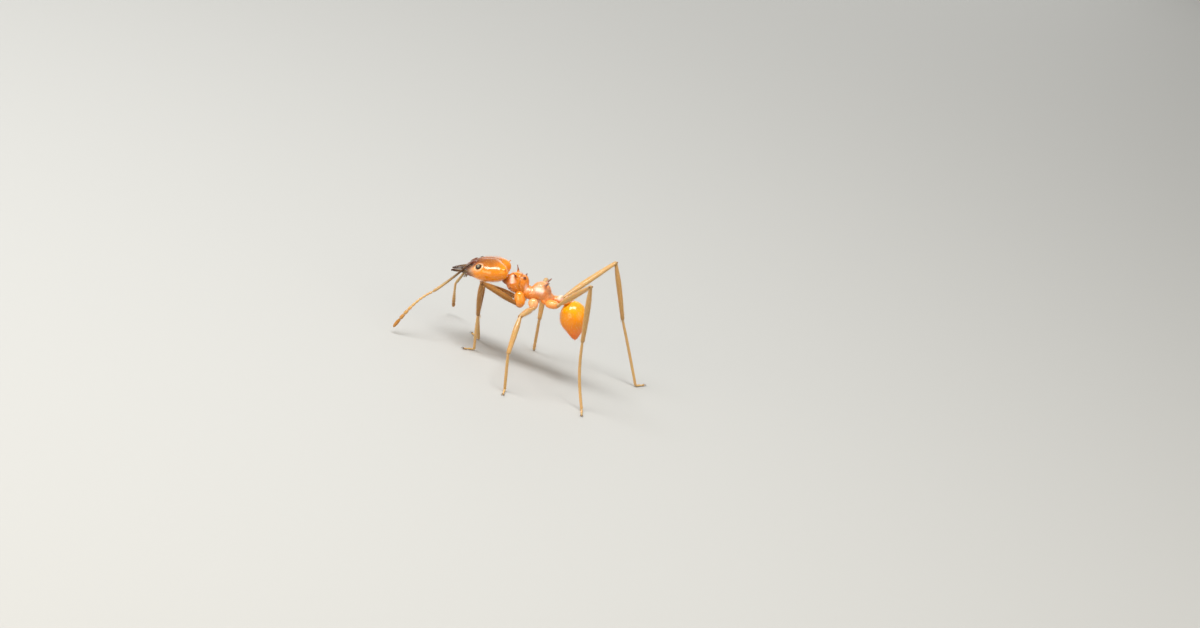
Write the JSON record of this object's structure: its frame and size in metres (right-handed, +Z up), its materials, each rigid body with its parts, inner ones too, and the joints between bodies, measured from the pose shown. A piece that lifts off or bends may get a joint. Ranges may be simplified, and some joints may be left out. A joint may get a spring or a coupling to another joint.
{
  "type": "leafcutter ant, life-size still model",
  "caption": "Leafcutter ant worker standing still: heart-shaped head with toothed jaws and bent feelers, spined trunk, knobbed waist, pointed gaster and long jointed legs.",
  "frame": {"origin": "on the floor, under the middle of the standing ant's bounding box", "axes": "+Z up, the head points towards -X, the ant's left side faces -Y"},
  "size_m": [0.0168, 0.011, 0.0084],
  "materials": {
    "cuticle": "smooth glossy amber cuticle",
    "cuticle_dark": "satin dark brown cuticle",
    "cuticle_pale": "satin pale brown cuticle",
    "eye": "dark glossy faceted eye"
  },
  "bodies": {
    "root": {"antenna_flagellum_left": "cuticle_pale", "antenna_flagellum_right": "cuticle_pale", "antenna_scape_left": "cuticle_dark", "antenna_scape_right": "cuticle_dark", "coxa_front_left": "cuticle", "coxa_front_right": "cuticle", "coxa_hind_left": "cuticle", "coxa_hind_right": "cuticle", "coxa_middle_left": "cuticle", "coxa_middle_right": "cuticle", "eye_left": "eye", "eye_right": "eye", "femur_front_left": "cuticle_pale", "femur_front_right": "cuticle_pale", "femur_hind_left": "cuticle_pale", "femur_hind_right": "cuticle_pale", "femur_middle_left": "cuticle_pale", "femur_middle_right": "cuticle_pale", "gaster_first_segment": "cuticle", "gaster_second_segment": "cuticle", "gaster_tip": "cuticle", "head": "cuticle", "mandible_left": "cuticle_dark", "mandible_right": "cuticle_dark", "mesothorax": "cuticle", "petiole": "cuticle", "postpetiole": "cuticle", "pronotum": "cuticle", "propodeum": "cuticle", "tarsus_front_left": "cuticle_pale", "tarsus_front_right": "cuticle_pale", "tarsus_hind_left": "cuticle_pale", "tarsus_hind_right": "cuticle_pale", "tarsus_middle_left": "cuticle_pale", "tarsus_middle_right": "cuticle_pale", "tibia_front_left": "cuticle_pale", "tibia_front_right": "cuticle_pale", "tibia_hind_left": "cuticle_pale", "tibia_hind_right": "cuticle_pale", "tibia_middle_left": "cuticle_pale", "tibia_middle_right": "cuticle_pale"}
  },
  "joints": []
}
